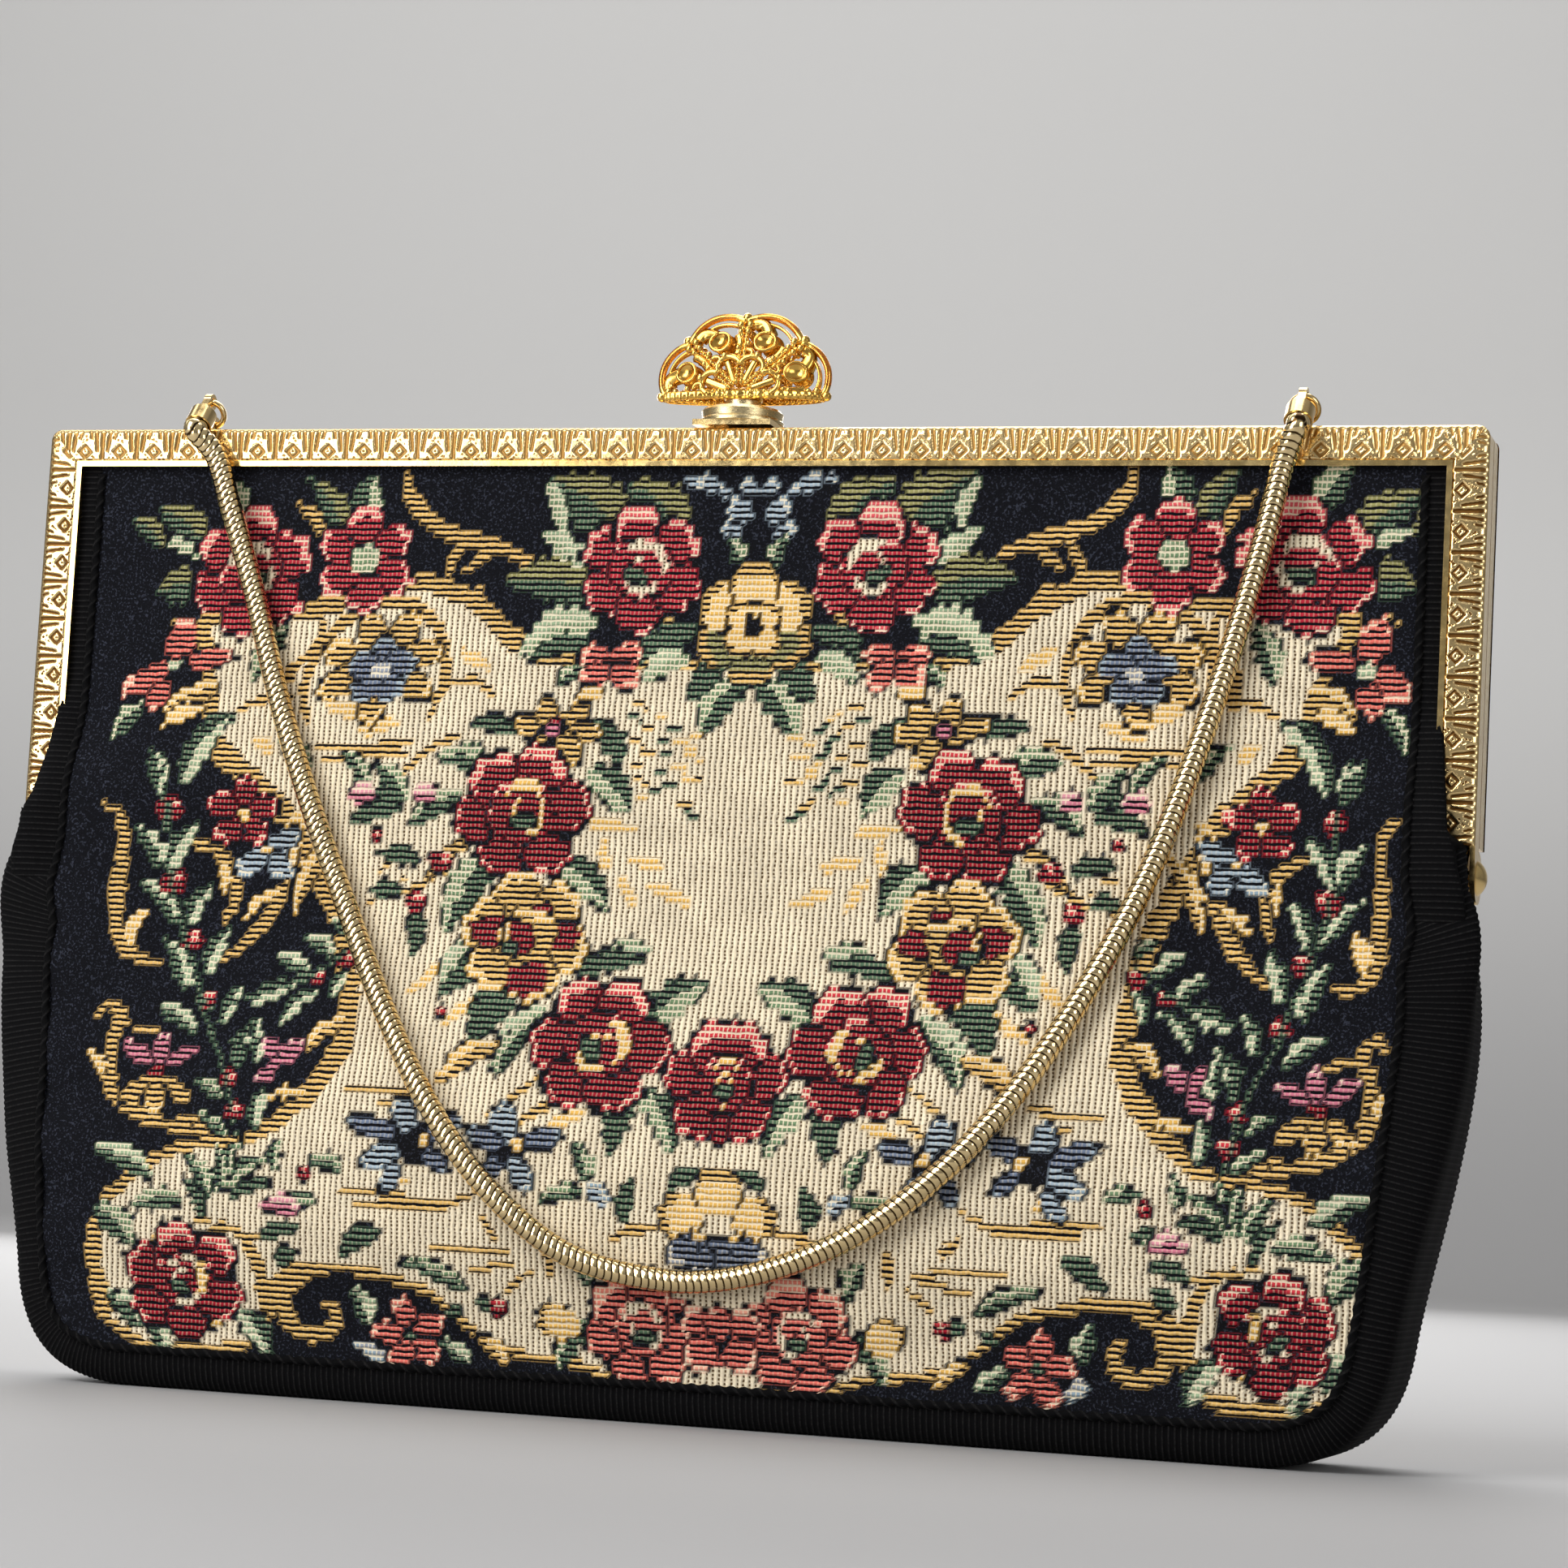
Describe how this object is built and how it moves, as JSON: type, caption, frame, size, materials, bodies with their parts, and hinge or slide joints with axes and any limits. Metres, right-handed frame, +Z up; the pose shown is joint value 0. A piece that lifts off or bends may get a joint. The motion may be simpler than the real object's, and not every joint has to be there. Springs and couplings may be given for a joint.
{
  "type": "tapestry evening bag with clasp frame",
  "caption": "Floral tapestry evening bag on a hinged gold clasp frame, with a tilting fan-shaped filigree clasp, a ribbed side band and a hanging chain handle.",
  "frame": {"origin": "middle of the flat base, on the surface that the bag stands on", "axes": "+X along the frame's width, the front faces -Y, +Z up"},
  "size_m": [0.2428, 0.042, 0.1761],
  "materials": {
    "frame_gold": "embossed and polished",
    "pale_gold": "polished filigree",
    "tapestry": "woven floral tapestry",
    "black_ribbon": "ribbed black ribbon",
    "lining": "plain satin"
  },
  "bodies": {
    "front_half": {"front_jaw": "frame_gold", "hinge_rivet_left": "frame_gold", "hinge_rivet_right": "frame_gold", "chain_lug_left": "frame_gold", "chain_lug_right": "frame_gold", "chain_ring_left": "frame_gold", "chain_ring_right": "frame_gold", "chain_end_left": "frame_gold", "chain_end_right": "frame_gold", "chain": "frame_gold", "front_panel": "tapestry", "front_side_strips": "black_ribbon", "gusset": "black_ribbon", "rear_panel": "tapestry", "lining": "lining"},
    "rear_half": {"rear_jaw": "frame_gold", "rear_panel_top": "tapestry", "rear_side_strips": "black_ribbon", "lining_rear_flap": "lining", "clasp_lugs": "frame_gold", "clasp_pin": "pale_gold", "clasp_springs": "pale_gold"},
    "clasp": {"clasp_lever": "pale_gold", "clasp_collar": "pale_gold", "fan_ornament": "pale_gold"}
  },
  "joints": [
    {"name": "frame_hinge", "type": "hinge", "parent": "front_half", "child": "rear_half", "pos_m": [0, 0, 0.089], "axis": [-1, 0, 0], "range_deg": [0, 55]},
    {"name": "clasp_tilt", "type": "hinge", "parent": "rear_half", "child": "clasp", "pos_m": [0, 0.0073, 0.1573], "axis": [-1, 0, 0], "range_deg": [0, 40], "stiffness_Nm_per_rad": 0.02, "springref_deg": -28.65}
  ]
}
